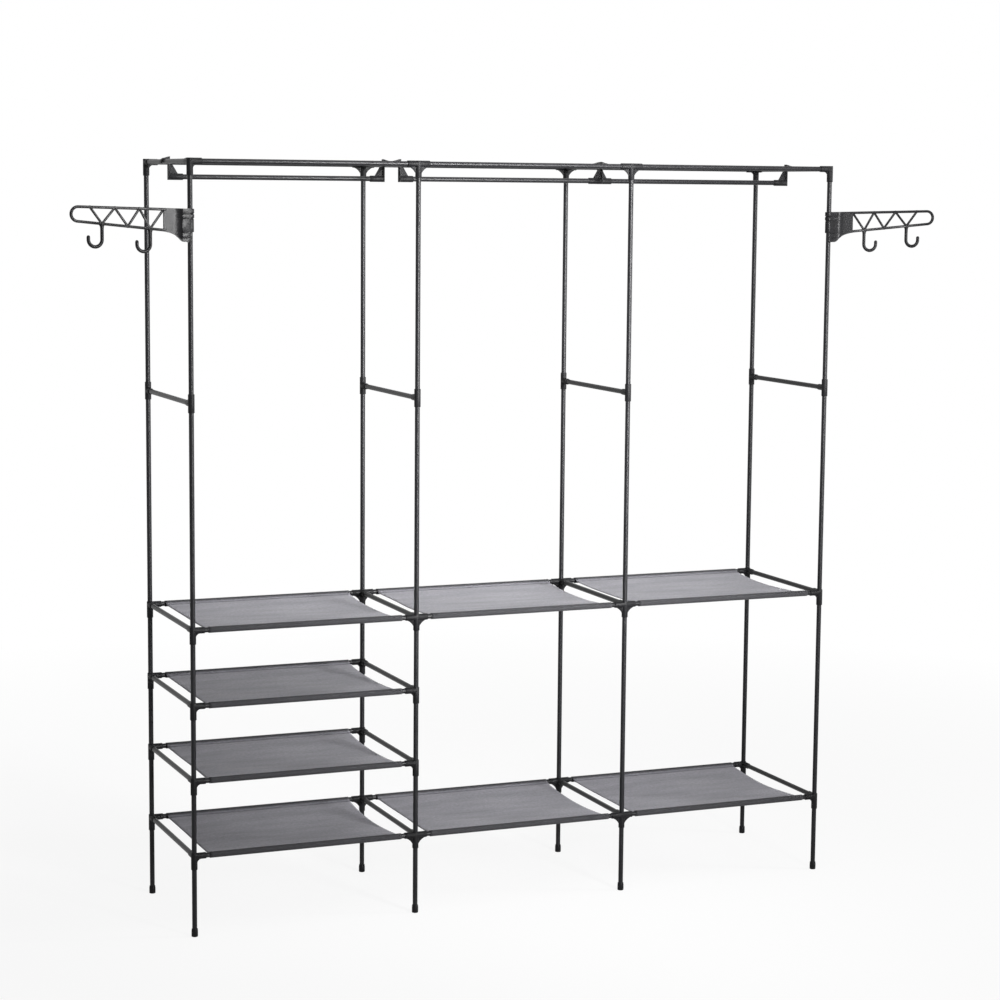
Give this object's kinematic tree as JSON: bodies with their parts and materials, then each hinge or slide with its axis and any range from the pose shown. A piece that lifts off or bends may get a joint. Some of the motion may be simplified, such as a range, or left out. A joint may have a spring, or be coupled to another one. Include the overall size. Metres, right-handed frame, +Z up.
{
  "type": "open frame wardrobe",
  "caption": "Open wardrobe frame of push-fit steel tube with fabric shelves, hanging rods under the top rails and a turning hook arm at each side.",
  "frame": {"origin": "on the floor, under the centre of the whole outline with the hook arms as stored", "axes": "+X to the right along the front, +Y from the front posts to the back posts, +Z up"},
  "size_m": [2.072, 0.4076, 1.6914],
  "materials": {
    "painted_tube": "dark grey satin paint",
    "shelf_fabric": "grey non-woven cloth",
    "bracket_plastic": "black moulded plastic",
    "arm_plastic": "dark grey moulded plastic with a light sheen"
  },
  "bodies": {
    "frame": {"post_front_1": "painted_tube", "post_front_2": "painted_tube", "post_front_3": "painted_tube", "post_front_4": "painted_tube", "post_back_1": "painted_tube", "post_back_2": "painted_tube", "post_back_3": "painted_tube", "post_back_4": "painted_tube", "rail_front_left_bottom": "painted_tube", "rail_back_left_bottom": "painted_tube", "rail_front_left_second": "painted_tube", "rail_back_left_second": "painted_tube", "rail_front_left_third": "painted_tube", "rail_back_left_third": "painted_tube", "rail_front_left_middle": "painted_tube", "rail_back_left_middle": "painted_tube", "rail_front_centre_bottom": "painted_tube", "rail_back_centre_bottom": "painted_tube", "rail_front_centre_middle": "painted_tube", "rail_back_centre_middle": "painted_tube", "rail_front_right_bottom": "painted_tube", "rail_back_right_bottom": "painted_tube", "rail_front_right_middle": "painted_tube", "rail_back_right_middle": "painted_tube", "cross_tube_1_bottom": "painted_tube", "cross_tube_1_second": "painted_tube", "cross_tube_1_third": "painted_tube", "cross_tube_1_middle": "painted_tube", "cross_brace_1": "painted_tube", "cross_tube_2_bottom": "painted_tube", "cross_tube_2_second": "painted_tube", "cross_tube_2_third": "painted_tube", "cross_tube_2_middle": "painted_tube", "cross_brace_2": "painted_tube", "cross_tube_3_bottom": "painted_tube", "cross_tube_3_middle": "painted_tube", "cross_brace_3": "painted_tube", "cross_tube_4_bottom": "painted_tube", "cross_tube_4_middle": "painted_tube", "cross_brace_4": "painted_tube", "top_frame": "painted_tube", "shelf_left_bottom": "shelf_fabric", "shelf_left_second": "shelf_fabric", "shelf_left_third": "shelf_fabric", "shelf_left_middle": "shelf_fabric", "shelf_centre_bottom": "shelf_fabric", "shelf_centre_middle": "shelf_fabric", "shelf_right_bottom": "shelf_fabric", "shelf_right_middle": "shelf_fabric"},
    "rod_left": {"clothes_rod_left": "painted_tube", "rod_bracket_left_left_end": "bracket_plastic", "rod_bracket_left_right_end": "bracket_plastic"},
    "rod_centre": {"clothes_rod_centre": "painted_tube", "rod_bracket_centre_left_end": "bracket_plastic", "rod_bracket_centre_right_end": "bracket_plastic"},
    "rod_right": {"clothes_rod_right": "painted_tube", "rod_bracket_right_left_end": "bracket_plastic", "rod_bracket_right_right_end": "bracket_plastic"},
    "arm_left": {"hook_arm_left": "arm_plastic"},
    "arm_right": {"hook_arm_right": "arm_plastic"}
  },
  "joints": [
    {"name": "rod_left_slide", "type": "slide", "parent": "frame", "child": "rod_left", "axis": [0, 1, 0], "range_m": [-0.025, 0.125]},
    {"name": "rod_centre_slide", "type": "slide", "parent": "frame", "child": "rod_centre", "axis": [0, 1, 0], "range_m": [-0.108, 0.018]},
    {"name": "rod_right_slide", "type": "slide", "parent": "frame", "child": "rod_right", "axis": [0, 1, 0], "range_m": [-0.018, 0.132]},
    {"name": "arm_left_turn", "type": "hinge", "parent": "frame", "child": "arm_left", "pos_m": [-0.771, -0.16535, 1.5772], "axis": [0, 0, 1], "continuous": true},
    {"name": "arm_right_turn", "type": "hinge", "parent": "frame", "child": "arm_right", "pos_m": [0.771, -0.16535, 1.5772], "axis": [0, 0, 1], "continuous": true}
  ]
}
